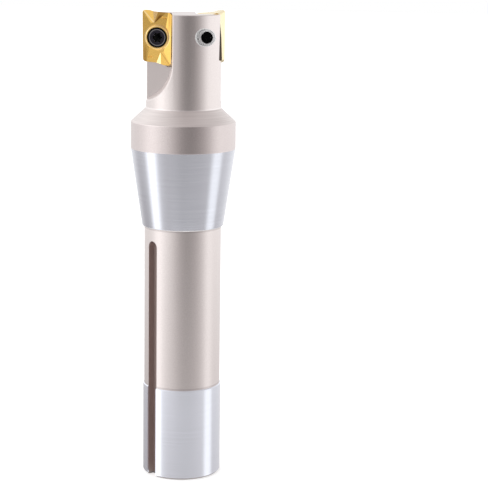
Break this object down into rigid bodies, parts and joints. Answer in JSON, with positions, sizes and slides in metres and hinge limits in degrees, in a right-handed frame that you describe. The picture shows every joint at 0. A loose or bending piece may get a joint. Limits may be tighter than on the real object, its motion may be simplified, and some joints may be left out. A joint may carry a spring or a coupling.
{
  "type": "indexable end mill",
  "caption": "Indexable square-shoulder end mill on an R8 shank, with screwed-in coated carbide inserts at the cutting end.",
  "frame": {"origin": "on the tool axis at the drawbar end face", "axes": "+Z along the tool axis towards the cutting end, -Y the way the first insert's rake face looks, -X the side the first insert is on"},
  "size_m": [0.0318, 0.0318, 0.1437],
  "materials": {
    "satin_steel": "satin nickel on the neck and collar, ground bright on the taper and pilot",
    "gold_coating": "gold titanium nitride coating on pressed carbide",
    "black_steel": "black oxide, lightly oiled"
  },
  "bodies": {
    "root": {"cutter_body": "satin_steel", "cutting_insert_1": "gold_coating", "cutting_insert_2": "gold_coating", "insert_screws": "black_steel"}
  },
  "joints": []
}
